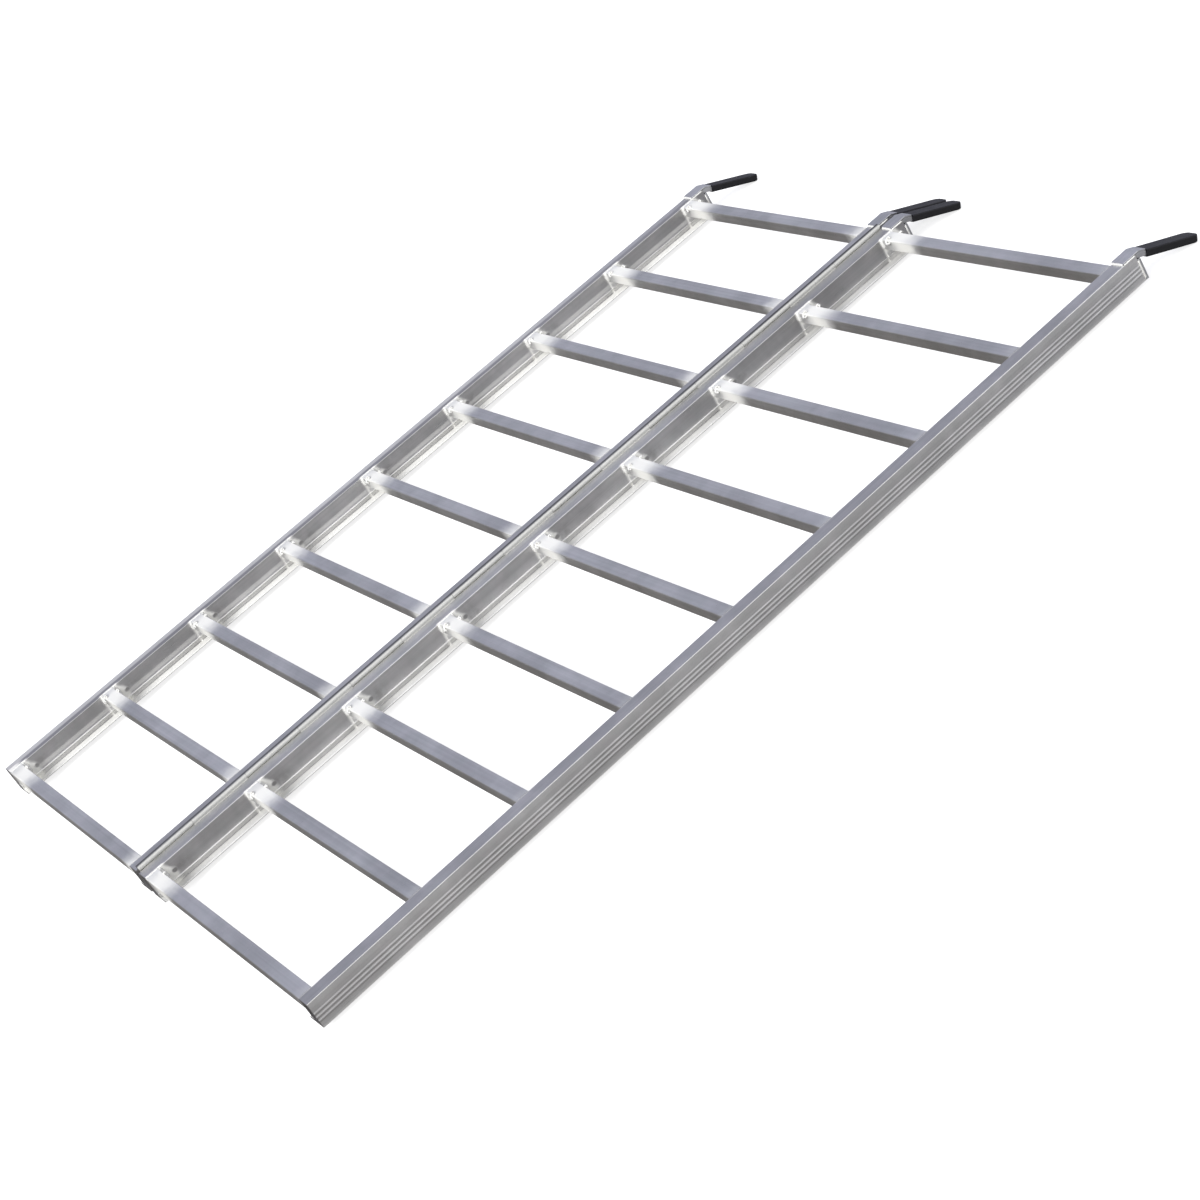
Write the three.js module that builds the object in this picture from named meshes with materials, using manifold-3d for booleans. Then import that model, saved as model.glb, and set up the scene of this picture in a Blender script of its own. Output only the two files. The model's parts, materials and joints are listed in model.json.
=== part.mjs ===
// Folding aluminium loading ramp: two ladder panels joined by a full-length hinge.
// Millimetres, +Z up. X runs across the ramp, Y up its length towards the fingers
// that hook over a tailgate. The ramp is modelled open, with its rails level.

import * as THREE from 'three';
import { mergeVertices } from 'three/addons/utils/BufferGeometryUtils.js';
import Module from 'manifold-3d';

const wasm = await Module();
wasm.setup();

// Driving dimensions
const OVERALL_WIDTH = 1270;
const RAIL_LENGTH = 1752.6;
const RAIL_HEIGHT = 49;
const RAIL_WIDTH = 28;
const RAIL_WALL = 3;
const HINGE_GAP = 13;
const FLANGE_REACH = 17;
const FLANGE_THICKNESS = 3;

const RUNG_COUNT = 9;
const RUNG_WIDTH = 25.4;
const RUNG_HEIGHT = 22.2;
const RUNG_WALL = 2.8;
const RUNG_CORNER = 1.6;
const RUNG_BORE_CORNER = 0.8;
const RAIL_OVERHANG = 31;

const FIT_GAP = 0.3;

const FINGER_SLOPE = THREE.MathUtils.degToRad(24);
const SLEEVE_START = { y: 22.4, z: -4.45 };
const SLEEVE_LENGTH = 114.5;
const SLEEVE_WIDTH = 33;
const SLEEVE_THICKNESS = 13;
const SLEEVE_TIP_RADIUS = 13;
const SLEEVE_BEVEL = 2;
const BAR_WIDTH = 28;
const BAR_THICKNESS = 8;
const BAR_LENGTH = 107;
const STRAP_THICKNESS = 3.2;
const STRAP_LENGTH = 28;
const END_PLATE_THICKNESS = 6;
const END_PLATE_FOOT_GAP = 0.5;

const BARREL_RADIUS = 5.6;
const BARREL_HEIGHT = 4;
const PIN_RADIUS = 3;
const KNUCKLE_COUNT = 15;
const KNUCKLE_GAP = 0.4;
const LEAF_THICKNESS = 6;
const NECK_SETBACK = 1.3;
const LEAF_DEPTH = 30;
const LEAF_SPLIT = 0.2;
const HINGE_LOWER_SETBACK = 4;
const HINGE_SIDES = 24;

// Derived sizes
const PANEL_WIDTH = (OVERALL_WIDTH - HINGE_GAP) / 2;
const RUNG_LENGTH = PANEL_WIDTH - 2 * RAIL_WIDTH - 2 * FIT_GAP;
const RUNG_PITCH = (RAIL_LENGTH - RUNG_WIDTH - RAIL_OVERHANG) / (RUNG_COUNT - 1);
const RAIL_END = RAIL_LENGTH / 2;
const HINGE_LENGTH = RAIL_LENGTH - HINGE_LOWER_SETBACK - STRAP_LENGTH - 1;
const HINGE_START = -RAIL_END + HINGE_LOWER_SETBACK;
const KNUCKLE_PITCH = HINGE_LENGTH / KNUCKLE_COUNT;

// Solids and booleans

function toSolid(geometry) {
  const shape = geometry.index ? geometry.toNonIndexed() : geometry.clone();
  shape.deleteAttribute('normal');
  shape.deleteAttribute('uv');
  const merged = mergeVertices(shape, 1e-4);
  const vertProperties = new Float32Array(merged.attributes.position.array);
  const triVerts = new Uint32Array(merged.index.array);
  return new wasm.Manifold(new wasm.Mesh({ numProp: 3, vertProperties, triVerts }));
}

function toGeometry(solid) {
  const mesh = solid.getMesh();
  const geometry = new THREE.BufferGeometry();
  geometry.setAttribute('position', new THREE.BufferAttribute(mesh.vertProperties, 3));
  geometry.setIndex(new THREE.BufferAttribute(mesh.triVerts, 1));
  geometry.computeVertexNormals();
  return geometry;
}

// Extrudes an outline drawn in X and Z along Y, centred on Y = 0.
function extrudeAlongY(shape, length, curveSegments = 4) {
  const geometry = new THREE.ExtrudeGeometry(shape, { depth: length, bevelEnabled: false, curveSegments });
  geometry.rotateX(Math.PI / 2);
  geometry.translate(0, length / 2, 0);
  return geometry;
}

// Extrudes an outline drawn in Y and Z along X, centred on X = 0.
function extrudeAlongX(shape, length, curveSegments = 4) {
  const geometry = new THREE.ExtrudeGeometry(shape, { depth: length, bevelEnabled: false, curveSegments });
  geometry.translate(0, 0, -length / 2);
  geometry.rotateY(Math.PI / 2);
  geometry.rotateX(Math.PI / 2);
  return geometry;
}

function outline(points) {
  return new THREE.Shape(points.map(([a, b]) => new THREE.Vector2(a, b)));
}

function roundedRectangle(path, width, height, radius) {
  const right = width / 2;
  const top = height / 2;
  const a = right - radius;
  const b = top - radius;
  path.moveTo(-a, -top);
  path.lineTo(a, -top);
  path.absarc(a, -b, radius, -Math.PI / 2, 0);
  path.lineTo(right, b);
  path.absarc(a, b, radius, 0, Math.PI / 2);
  path.lineTo(-a, top);
  path.absarc(-a, b, radius, Math.PI / 2, Math.PI);
  path.lineTo(-right, -b);
  path.absarc(-a, -b, radius, Math.PI, 1.5 * Math.PI);
  return path;
}

// Materials

function aluminium(color, roughness) {
  return new THREE.MeshStandardMaterial({ color, roughness, metalness: 0.9 });
}

const railMetal = () => aluminium(0x9a9b9d, 0.42);
const rungMetal = () => aluminium(0x9396a2, 0.45);
const bracketMetal = () => aluminium(0xb4b5b8, 0.38);
const hingeMetal = () => aluminium(0xb8babb, 0.35);
const pinMetal = () => new THREE.MeshStandardMaterial({ color: 0x8d8f92, roughness: 0.3, metalness: 1 });
const sleeveRubber = () => new THREE.MeshStandardMaterial({ color: 0x17171a, roughness: 0.6, metalness: 0 });

// Rails

// Rail section: the crests of the outer face's three ribs lie on X = 0 and the inner
// web on X = RAIL_WIDTH, with the top at Z = 0. A bead, a recess and a flange run along
// the foot of the inner web.
function railSection(inward) {
  const corner = 2;
  const ribCrest = 1;
  const ribFoot = 2.4;
  const ribDepths = [35, 28, 21];
  const ribHeight = 0.6;
  const beadTop = 35.3;
  const beadHeight = 1.6;
  const beadWidth = 3;
  const recess = 2;
  const recessTop = 40.3;
  const flangeTop = RAIL_HEIGHT - FLANGE_THICKNESS;
  const flangeTip = RAIL_WIDTH + FLANGE_REACH;

  const points = [];
  const arc = (cx, cz, radius, from, to, steps) => {
    for (let i = 0; i <= steps; i++) {
      const angle = from + ((to - from) * i) / steps;
      points.push([cx + radius * Math.cos(angle), cz + radius * Math.sin(angle)]);
    }
  };

  arc(ribHeight + corner, -corner, corner, Math.PI, Math.PI / 2, 4);
  arc(RAIL_WIDTH - corner, -corner, corner, Math.PI / 2, 0, 4);
  points.push([RAIL_WIDTH, -beadTop]);
  points.push([RAIL_WIDTH + beadHeight, -beadTop - beadWidth / 3]);
  points.push([RAIL_WIDTH + beadHeight, -beadTop - (2 * beadWidth) / 3]);
  points.push([RAIL_WIDTH, -beadTop - beadWidth]);
  points.push([RAIL_WIDTH - recess, -recessTop]);
  points.push([RAIL_WIDTH - recess, -flangeTop + 1]);
  points.push([RAIL_WIDTH, -flangeTop]);
  points.push([flangeTip - 1, -flangeTop]);
  points.push([flangeTip, -flangeTop - 1]);
  points.push([flangeTip, -RAIL_HEIGHT]);
  points.push([ribHeight + 1, -RAIL_HEIGHT]);
  points.push([ribHeight, -RAIL_HEIGHT + 1]);
  for (const depth of ribDepths) {
    points.push([ribHeight, -depth - ribFoot]);
    points.push([0, -depth - ribCrest]);
    points.push([0, -depth + ribCrest]);
    points.push([ribHeight, -depth + ribFoot]);
  }

  const place = ([x, z]) => [x * inward, z];
  const shape = outline(points.map(place));
  const cavityLeft = ribHeight + RAIL_WALL;
  const cavityRight = RAIL_WIDTH - recess - RAIL_WALL;
  const cavityFoot = RAIL_HEIGHT - FLANGE_THICKNESS - 2;
  const cavity = [
    [cavityLeft, -RAIL_WALL],
    [cavityLeft, -cavityFoot],
    [cavityRight, -cavityFoot],
    [cavityRight, -RAIL_WALL],
  ];
  shape.holes.push(outline(cavity.map(place)));
  return shape;
}

function makeRail(name, outerX, inward) {
  const mesh = new THREE.Mesh(extrudeAlongY(railSection(inward), RAIL_LENGTH), railMetal());
  mesh.name = name;
  mesh.position.set(outerX, 0, 0);
  return mesh;
}

// Rungs

function makeRung(name, centreX, index) {
  const section = roundedRectangle(new THREE.Shape(), RUNG_WIDTH, RUNG_HEIGHT, RUNG_CORNER);
  const innerWidth = RUNG_WIDTH - 2 * RUNG_WALL;
  const innerHeight = RUNG_HEIGHT - 2 * RUNG_WALL;
  section.holes.push(roundedRectangle(new THREE.Path(), innerWidth, innerHeight, RUNG_BORE_CORNER));
  const mesh = new THREE.Mesh(extrudeAlongX(section, RUNG_LENGTH, 3), rungMetal());
  mesh.name = name;
  const firstY = -RAIL_END + RUNG_WIDTH / 2;
  mesh.position.set(centreX, firstY + index * RUNG_PITCH, -RUNG_HEIGHT / 2);
  return mesh;
}

// Fingers. Y is measured from the upper end of the rail and Z from its top.

// A point at a distance along the finger and a height above the top of its sleeve.
function onFinger(along, above) {
  const y = SLEEVE_START.y + along * Math.cos(FINGER_SLOPE) + above * Math.sin(FINGER_SLOPE);
  const z = SLEEVE_START.z - along * Math.sin(FINGER_SLOPE) + above * Math.cos(FINGER_SLOPE);
  return [y, z];
}

// Where the sloping line at a height above the sleeve's top crosses a level.
function crossLevel(above, level) {
  const [, z] = onFinger(0, above);
  return onFinger((z - level) / Math.sin(FINGER_SLOPE), above);
}

// Where that sloping line crosses an upright plane.
function crossUpright(above, upright) {
  const [y] = onFinger(0, above);
  return onFinger((upright - y) / Math.cos(FINGER_SLOPE), above);
}

const BAR_TOP = -(SLEEVE_THICKNESS - BAR_THICKNESS) / 2;
const BAR_FOOT = BAR_TOP - BAR_THICKNESS;

function makeFingerBar() {
  const shape = outline([
    [FIT_GAP, -FIT_GAP],
    crossLevel(BAR_TOP, -FIT_GAP),
    onFinger(BAR_LENGTH, BAR_TOP),
    onFinger(BAR_LENGTH, BAR_FOOT),
    crossUpright(BAR_FOOT, FIT_GAP),
  ]);
  return new THREE.Mesh(extrudeAlongX(shape, BAR_WIDTH), bracketMetal());
}

// A bent strap that ties the bar down to the top of the rail.
function makeStrap() {
  const under = BAR_TOP + FIT_GAP;
  const over = under + STRAP_THICKNESS;
  const shape = outline([
    [-STRAP_LENGTH, FIT_GAP],
    crossLevel(under, FIT_GAP),
    onFinger(-1, under),
    onFinger(-1, over),
    crossLevel(over, FIT_GAP + STRAP_THICKNESS),
    [-STRAP_LENGTH + STRAP_THICKNESS / 2, FIT_GAP + STRAP_THICKNESS],
    [-STRAP_LENGTH, FIT_GAP + STRAP_THICKNESS / 2],
  ]);
  return new THREE.Mesh(extrudeAlongX(shape, RAIL_WIDTH), bracketMetal());
}

// The plate that closes the end of the rail and carries the bar.
function makeEndPlate() {
  const outerFace = FIT_GAP + END_PLATE_THICKNESS;
  const [, barUnderside] = crossUpright(BAR_FOOT, outerFace);
  const shape = outline([
    [FIT_GAP, -RAIL_HEIGHT + END_PLATE_FOOT_GAP],
    [outerFace, -RAIL_HEIGHT + END_PLATE_FOOT_GAP],
    [outerFace, barUnderside - FIT_GAP],
    [FIT_GAP, barUnderside - FIT_GAP],
  ]);
  return new THREE.Mesh(extrudeAlongX(shape, BAR_WIDTH), bracketMetal());
}

// A moulded sleeve with a rounded tip, open at its inner end where the bar goes in.
function makeSleeve() {
  const half = SLEEVE_WIDTH / 2 - SLEEVE_BEVEL;
  const tip = SLEEVE_LENGTH - SLEEVE_BEVEL;
  const radius = SLEEVE_TIP_RADIUS;
  const plan = new THREE.Shape();
  plan.moveTo(-half, SLEEVE_BEVEL);
  plan.lineTo(half, SLEEVE_BEVEL);
  plan.lineTo(half, tip - radius);
  plan.absarc(half - radius, tip - radius, radius, 0, Math.PI / 2);
  plan.lineTo(-half + radius, tip);
  plan.absarc(-half + radius, tip - radius, radius, Math.PI / 2, Math.PI);
  plan.closePath();
  const outer = new THREE.ExtrudeGeometry(plan, {
    depth: SLEEVE_THICKNESS - 2 * SLEEVE_BEVEL,
    bevelEnabled: true,
    bevelThickness: SLEEVE_BEVEL,
    bevelSize: SLEEVE_BEVEL,
    bevelSegments: 3,
    curveSegments: 6,
  });
  outer.translate(0, 0, -SLEEVE_THICKNESS + SLEEVE_BEVEL);

  const overrun = 10;
  const depth = BAR_LENGTH + FIT_GAP + overrun;
  const bore = new THREE.BoxGeometry(BAR_WIDTH + 2 * FIT_GAP, depth, BAR_THICKNESS + 2 * FIT_GAP);
  bore.translate(0, depth / 2 - overrun, -SLEEVE_THICKNESS / 2);

  const mesh = new THREE.Mesh(toGeometry(toSolid(outer).subtract(toSolid(bore))), sleeveRubber());
  mesh.position.set(0, SLEEVE_START.y, SLEEVE_START.z);
  mesh.rotation.x = -FINGER_SLOPE;
  return mesh;
}

function makeFinger(place, centreX) {
  const finger = new THREE.Group();
  const pieces = {
    finger_strap: makeStrap(),
    finger_bar: makeFingerBar(),
    end_plate: makeEndPlate(),
    finger_sleeve: makeSleeve(),
  };
  for (const [piece, mesh] of Object.entries(pieces)) {
    mesh.name = `${place}_${piece}`;
    finger.add(mesh);
  }
  finger.position.set(centreX, RAIL_END, 0);
  return finger;
}

// Hinge. The barrel stands proud of the rails, so the panels fold face to face.

function hingeRod(radius, start, length) {
  const rod = new THREE.CylinderGeometry(radius, radius, length, HINGE_SIDES);
  rod.translate(0, start + length / 2, BARREL_HEIGHT);
  return rod;
}

// side is -1 for the left leaf and +1 for the right one, and the knuckles alternate.
function makeLeaf(name, side, firstKnuckle) {
  const leafTop = BARREL_HEIGHT - BARREL_RADIUS - KNUCKLE_GAP;
  const leafX = side * (LEAF_SPLIT + LEAF_THICKNESS / 2);
  const plate = new THREE.BoxGeometry(LEAF_THICKNESS, HINGE_LENGTH, LEAF_DEPTH);
  plate.translate(leafX, HINGE_START + HINGE_LENGTH / 2, leafTop - LEAF_DEPTH / 2);
  let leaf = toSolid(plate);

  const knuckleLength = KNUCKLE_PITCH - KNUCKLE_GAP;
  const neckWidth = LEAF_THICKNESS - NECK_SETBACK;
  const neckHeight = BARREL_HEIGHT - leafTop + 1;
  for (let i = firstKnuckle; i < KNUCKLE_COUNT; i += 2) {
    const start = HINGE_START + i * KNUCKLE_PITCH + KNUCKLE_GAP / 2;
    const neck = new THREE.BoxGeometry(neckWidth, knuckleLength, neckHeight);
    const neckX = side * (LEAF_SPLIT + neckWidth / 2);
    neck.translate(neckX, start + knuckleLength / 2, BARREL_HEIGHT - neckHeight / 2);
    leaf = leaf.add(toSolid(neck)).add(toSolid(hingeRod(BARREL_RADIUS, start, knuckleLength)));
  }

  const overrun = 5;
  const bore = hingeRod(PIN_RADIUS + FIT_GAP, HINGE_START - overrun, HINGE_LENGTH + 2 * overrun);
  const mesh = new THREE.Mesh(toGeometry(leaf.subtract(toSolid(bore))), hingeMetal());
  mesh.name = name;
  return mesh;
}

function makePin() {
  const mesh = new THREE.Mesh(hingeRod(PIN_RADIUS, HINGE_START, HINGE_LENGTH), pinMetal());
  mesh.name = 'hinge_pin';
  return mesh;
}

// Panels

// side is -1 for the left panel and +1 for the right one.
function makePanel(side) {
  const label = side < 0 ? 'left' : 'right';
  const panel = new THREE.Group();
  const outerX = (side * OVERALL_WIDTH) / 2;
  const innerX = (side * HINGE_GAP) / 2;
  panel.add(makeRail(`${label}_outer_rail`, outerX, -side));
  panel.add(makeRail(`${label}_inner_rail`, innerX, side));
  for (let i = 0; i < RUNG_COUNT; i++) {
    panel.add(makeRung(`${label}_rung_${i + 1}`, (outerX + innerX) / 2, i));
  }
  panel.add(makeFinger(`${label}_outer`, outerX - (side * RAIL_WIDTH) / 2));
  panel.add(makeFinger(`${label}_inner`, innerX + (side * RAIL_WIDTH) / 2));
  return panel;
}

const ramp = new THREE.Group();
ramp.add(makePanel(-1));
ramp.add(makePanel(1));
ramp.add(makeLeaf('left_hinge_leaf', -1, 0));
ramp.add(makeLeaf('right_hinge_leaf', 1, 1));
ramp.add(makePin());

// The origin is the centre of the bounding box's base.
const bounds = new THREE.Box3().setFromObject(ramp, true);
const centre = bounds.getCenter(new THREE.Vector3());
ramp.position.set(-centre.x, -centre.y, -bounds.min.z);

export default ramp;
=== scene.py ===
"""Folding aluminium loading ramp: two ladder panels joined by a full-length hinge.

Metres, +Z up. X runs across the ramp and Y along it towards the rubber-covered fingers.
"""

import json
import math
import random

import bmesh
import bpy
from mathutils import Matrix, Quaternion, Vector


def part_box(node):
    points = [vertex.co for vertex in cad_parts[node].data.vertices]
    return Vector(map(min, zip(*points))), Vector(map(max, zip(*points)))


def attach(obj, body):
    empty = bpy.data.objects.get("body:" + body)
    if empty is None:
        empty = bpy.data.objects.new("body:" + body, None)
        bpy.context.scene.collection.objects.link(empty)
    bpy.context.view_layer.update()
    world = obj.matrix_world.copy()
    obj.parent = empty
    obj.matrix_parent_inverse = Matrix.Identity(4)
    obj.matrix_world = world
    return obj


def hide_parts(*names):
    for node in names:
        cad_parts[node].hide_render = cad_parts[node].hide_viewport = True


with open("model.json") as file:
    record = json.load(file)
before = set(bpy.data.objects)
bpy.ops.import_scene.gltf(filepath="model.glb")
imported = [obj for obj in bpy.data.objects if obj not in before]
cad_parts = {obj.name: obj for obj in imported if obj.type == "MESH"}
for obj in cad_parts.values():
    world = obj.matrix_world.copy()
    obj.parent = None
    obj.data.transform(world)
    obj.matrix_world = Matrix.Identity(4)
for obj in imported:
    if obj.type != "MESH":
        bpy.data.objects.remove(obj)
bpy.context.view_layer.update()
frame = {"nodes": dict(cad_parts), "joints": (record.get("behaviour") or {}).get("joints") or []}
MM = 0.001

# ---------------------------------------------------------------- places from the frame

outer_low, outer_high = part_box("right_outer_rail")
inner_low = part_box("right_inner_rail")[0]
rung_low, rung_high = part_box("right_rung_1")
next_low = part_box("right_rung_2")[0]

RAIL_TOP = outer_high.z
RAIL_START = outer_low.y
RAIL_FINISH = outer_high.y
OUTER_FACE = outer_high.x
GAP_FACE = inner_low.x
RUNG_WIDTH = rung_high.y - rung_low.y
RUNG_HEIGHT = rung_high.z - rung_low.z
RUNG_COUNT = sum(name.startswith("right_rung_") for name in frame["nodes"])
FIRST_RUNG = (rung_low.y + rung_high.y) / 2
RUNG_PITCH = next_low.y - rung_low.y
FIT_GAP = 0.3 * MM
INNER_WEB = rung_low.x - FIT_GAP
OUTER_WEB = rung_high.x + FIT_GAP
RAIL_WIDTH = INNER_WEB - GAP_FACE
RAIL_HEIGHT = outer_high.z - outer_low.z
HINGE_AXIS = Vector(frame["joints"][0]["pos_m"])
SIDES = {"left": -1, "right": 1}


def rung_y(index):
    return FIRST_RUNG + index * RUNG_PITCH


# Rail section, measured down from a rail's top and in from its outer face
WALL = 3 * MM
CORNER = 2 * MM
HINGE_CORNER = 0.8 * MM
RIB_DEPTHS = [35 * MM, 28 * MM, 21 * MM]
RIB_HEIGHT = 0.6 * MM
RIB_HALF = 3.3 * MM
BEAD_DEPTH = 36.8 * MM
BEAD_REACH = 1.6 * MM
BEAD_HALF = 1.5 * MM
RECESS = 2 * MM
FLANGE_THICKNESS = 3 * MM
FLANGE_REACH = 17 * MM

# ---------------------------------------------------------------- camera, light and floor

CAMERA_PLACE = (3.80821, -1.35302, 2.07327)
CAMERA_AZIMUTH = 72.3365
CAMERA_ELEVATION = 29.7818
CAMERA_ROLL = -32.7868
LENS = 79.747
SENSOR = 36
SHIFT = (0.01906, 0.06441)


def make_camera():
    azimuth = math.radians(CAMERA_AZIMUTH)
    elevation = math.radians(CAMERA_ELEVATION)
    back = Vector((
        math.sin(azimuth) * math.cos(elevation),
        -math.cos(azimuth) * math.cos(elevation),
        math.sin(elevation),
    ))
    data = bpy.data.cameras.new("camera")
    data.lens = LENS
    data.sensor_width = SENSOR
    data.shift_x, data.shift_y = SHIFT
    data.clip_end = 100
    camera = bpy.data.objects.new("camera", data)
    bpy.context.scene.collection.objects.link(camera)
    roll = Quaternion((0, 0, 1), math.radians(CAMERA_ROLL))
    camera.rotation_mode = "QUATERNION"
    camera.rotation_quaternion = (-back).to_track_quat("-Z", "Y") @ roll
    camera.location = CAMERA_PLACE
    bpy.context.scene.camera = camera


# ---------------------------------------------------------------- node graphs


class Graph:
    """Short calls for building a node tree. A socket, number or tuple can be an input."""

    def __init__(self, tree):
        self.tree = tree
        tree.nodes.clear()

    def node(self, kind, inputs=(), **settings):
        node = self.tree.nodes.new(kind)
        for name, value in settings.items():
            setattr(node, name, value)
        for key, value in dict(inputs).items():
            self.feed(node.inputs[key], value)
        return node

    def feed(self, socket, value):
        if isinstance(value, bpy.types.NodeSocket):
            self.tree.links.new(value, socket)
        else:
            socket.default_value = value

    def math(self, operation, a, b=0.0, c=0.0, clamp=False):
        node = self.node("ShaderNodeMath", {0: a, 1: b, 2: c}, operation=operation, use_clamp=clamp)
        return node.outputs[0]

    def add(self, a, b):
        return self.math("ADD", a, b)

    def times(self, a, b):
        return self.math("MULTIPLY", a, b)

    def less(self, value, whole=1.0):
        """What is left of a whole after a value is taken away."""
        return self.math("SUBTRACT", whole, value)

    def distance(self, value, centre):
        return self.math("ABSOLUTE", self.add(value, -centre))

    def most(self, *values):
        found = values[0]
        for value in values[1:]:
            found = self.math("MAXIMUM", found, value)
        return found

    def step(self, value, low, high, out_low=0.0, out_high=1.0):
        """A smooth ramp of value from low to high."""
        node = self.node("ShaderNodeMapRange", {
            "Value": value, "From Min": low, "From Max": high, "To Min": out_low, "To Max": out_high,
        }, interpolation_type="SMOOTHSTEP")
        return node.outputs["Result"]

    def mix(self, factor, a, b, blend="MIX"):
        node = self.node("ShaderNodeMix", data_type="RGBA", blend_type=blend)
        self.feed(node.inputs[0], factor)
        self.feed(node.inputs[6], colour(a))
        self.feed(node.inputs[7], colour(b))
        return node.outputs[2]

    def tint(self, a, factor):
        """A colour multiplied by one grey factor."""
        grey = self.node("ShaderNodeCombineColor", {0: factor, 1: factor, 2: factor}).outputs[0]
        return self.mix(1.0, a, grey, "MULTIPLY")

    def place(self):
        return self.node("ShaderNodeTexCoord").outputs["Object"]

    def stretch(self, vector, scale, turn=(0, 0, 0)):
        turned = [math.radians(angle) for angle in turn]
        node = self.node("ShaderNodeMapping", {"Vector": vector, "Scale": scale, "Rotation": turned})
        return node.outputs[0]

    def noise(self, vector, scale, detail=3.0, roughness=0.55):
        node = self.node("ShaderNodeTexNoise", {
            "Vector": vector, "Scale": scale, "Detail": detail, "Roughness": roughness,
        })
        return node.outputs[0]

    def parts(self, vector):
        return self.node("ShaderNodeSeparateXYZ", {0: vector}).outputs


def colour(value):
    if isinstance(value, tuple) and len(value) == 3:
        return (*value, 1.0)
    return value


# ---------------------------------------------------------------- world, light and floor

SKY = (0.395, 0.402, 0.472)
GROUND = (0.315, 0.31, 0.315)
FAR_GROUND = (0.20, 0.2, 0.205)
DEEP_GROUND = (0.15, 0.138, 0.128)
SOFTBOX = (1.35, 1.35, 1.33)
UP = (0.0, 0.56, 0.83)
ALONG = (0.0, 1.0, 0.0)
SOFTBOX_WAY = (0.83, 0.27, 0.45)


def make_world():
    """White to the camera; to the metal, a blue-grey sky over a warm dark ground and one bright side."""
    world = bpy.data.worlds.new("studio")
    bpy.context.scene.world = world
    world.use_nodes = True
    g = Graph(world.node_tree)
    way = g.node("ShaderNodeTexCoord").outputs["Generated"]

    def towards(direction):
        node = g.node("ShaderNodeVectorMath", {0: way, 1: Vector(direction).normalized()},
                      operation="DOT_PRODUCT")
        return node.outputs["Value"]

    height = towards(UP)
    bright = g.step(towards(SOFTBOX_WAY), 0.76, 1.0)
    shallow = g.mix(g.step(towards(ALONG), 0.15, 0.55), GROUND, FAR_GROUND)
    ground = g.mix(g.step(height, -0.75, -0.25), DEEP_GROUND, shallow)
    around = g.mix(g.step(height, -0.1, 0.35), ground, SKY)
    lit = g.mix(bright, around, SOFTBOX)
    seen = g.mix(g.node("ShaderNodeLightPath").outputs["Is Camera Ray"], lit, (1.0, 1.0, 1.0))
    shine = g.node("ShaderNodeBackground", {"Color": seen, "Strength": 1.0})
    out = g.node("ShaderNodeOutputWorld")
    g.tree.links.new(shine.outputs[0], out.inputs[0])


LAMP_WAY = (0.42, -0.62, 0.66)
LAMP_ENERGY = 4.1
LAMP_ANGLE = 35
FLOOR_REACH = 30
FLOOR_GLOW = 0.75


def make_lights():
    """One broad lamp that lights matt surfaces only, as the metal takes its look from the world."""
    data = bpy.data.lights.new("overhead", "SUN")
    data.energy = LAMP_ENERGY
    data.angle = math.radians(LAMP_ANGLE)
    lamp = bpy.data.objects.new("overhead", data)
    lamp.visible_glossy = False
    lamp.rotation_mode = "QUATERNION"
    lamp.rotation_quaternion = Vector(LAMP_WAY).to_track_quat("Z", "Y")
    bpy.context.scene.collection.objects.link(lamp)


def make_floor():
    mesh = bpy.data.meshes.new("floor")
    reach = FLOOR_REACH
    corners = [(-reach, -reach, 0), (reach, -reach, 0), (reach, reach, 0), (-reach, reach, 0)]
    mesh.from_pydata(corners, [], [(0, 1, 2, 3)])
    floor = bpy.data.objects.new("floor", mesh)
    bpy.context.scene.collection.objects.link(floor)
    floor.visible_glossy = False
    floor.visible_diffuse = False
    material = bpy.data.materials.new("pale_floor")
    material.use_nodes = True
    g = Graph(material.node_tree)
    spread = g.noise(g.place(), 3.0)
    paint = g.mix(spread, (0.5, 0.5, 0.5), (0.54, 0.54, 0.54))
    shader = g.node("ShaderNodeBsdfPrincipled", {
        "Base Color": paint,
        "Roughness": 0.9,
        "Emission Color": (1, 1, 1, 1),
        "Emission Strength": FLOOR_GLOW,
    })
    out = g.node("ShaderNodeOutputMaterial")
    g.tree.links.new(shader.outputs[0], out.inputs[0])
    mesh.materials.append(material)


# ---------------------------------------------------------------- materials


def finish_material(g, base, metallic, roughness, height, depth):
    bump = g.node("ShaderNodeBump", {"Height": height, "Distance": depth, "Strength": 1.0})
    shader = g.node("ShaderNodeBsdfPrincipled", {
        "Base Color": base, "Metallic": metallic, "Roughness": roughness, "Normal": bump.outputs[0],
    })
    out = g.node("ShaderNodeOutputMaterial")
    g.tree.links.new(shader.outputs[0], out.inputs[0])


def joint_distances(g, place):
    """Distances in X from the webs where rungs end: those that face +X, and those that face -X."""
    x = g.parts(place)[0]

    def nearest(first, second):
        return g.math("MINIMUM", g.distance(x, first), g.distance(x, second))

    return nearest(-OUTER_WEB, INNER_WEB), nearest(OUTER_WEB, -INNER_WEB)


def along_pitch(g, place):
    """Distances in Y beyond the far side and beyond the near side of the nearest rung."""
    y = g.parts(place)[1]
    folded = g.math("FLOORED_MODULO", g.add(y, RUNG_PITCH / 2 - FIRST_RUNG), RUNG_PITCH)
    offset = g.add(folded, -RUNG_PITCH / 2)
    far = g.math("MAXIMUM", g.add(offset, -RUNG_WIDTH / 2), 0.0)
    near = g.math("MAXIMUM", g.add(g.times(offset, -1.0), -RUNG_WIDTH / 2), 0.0)
    return far, near


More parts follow.
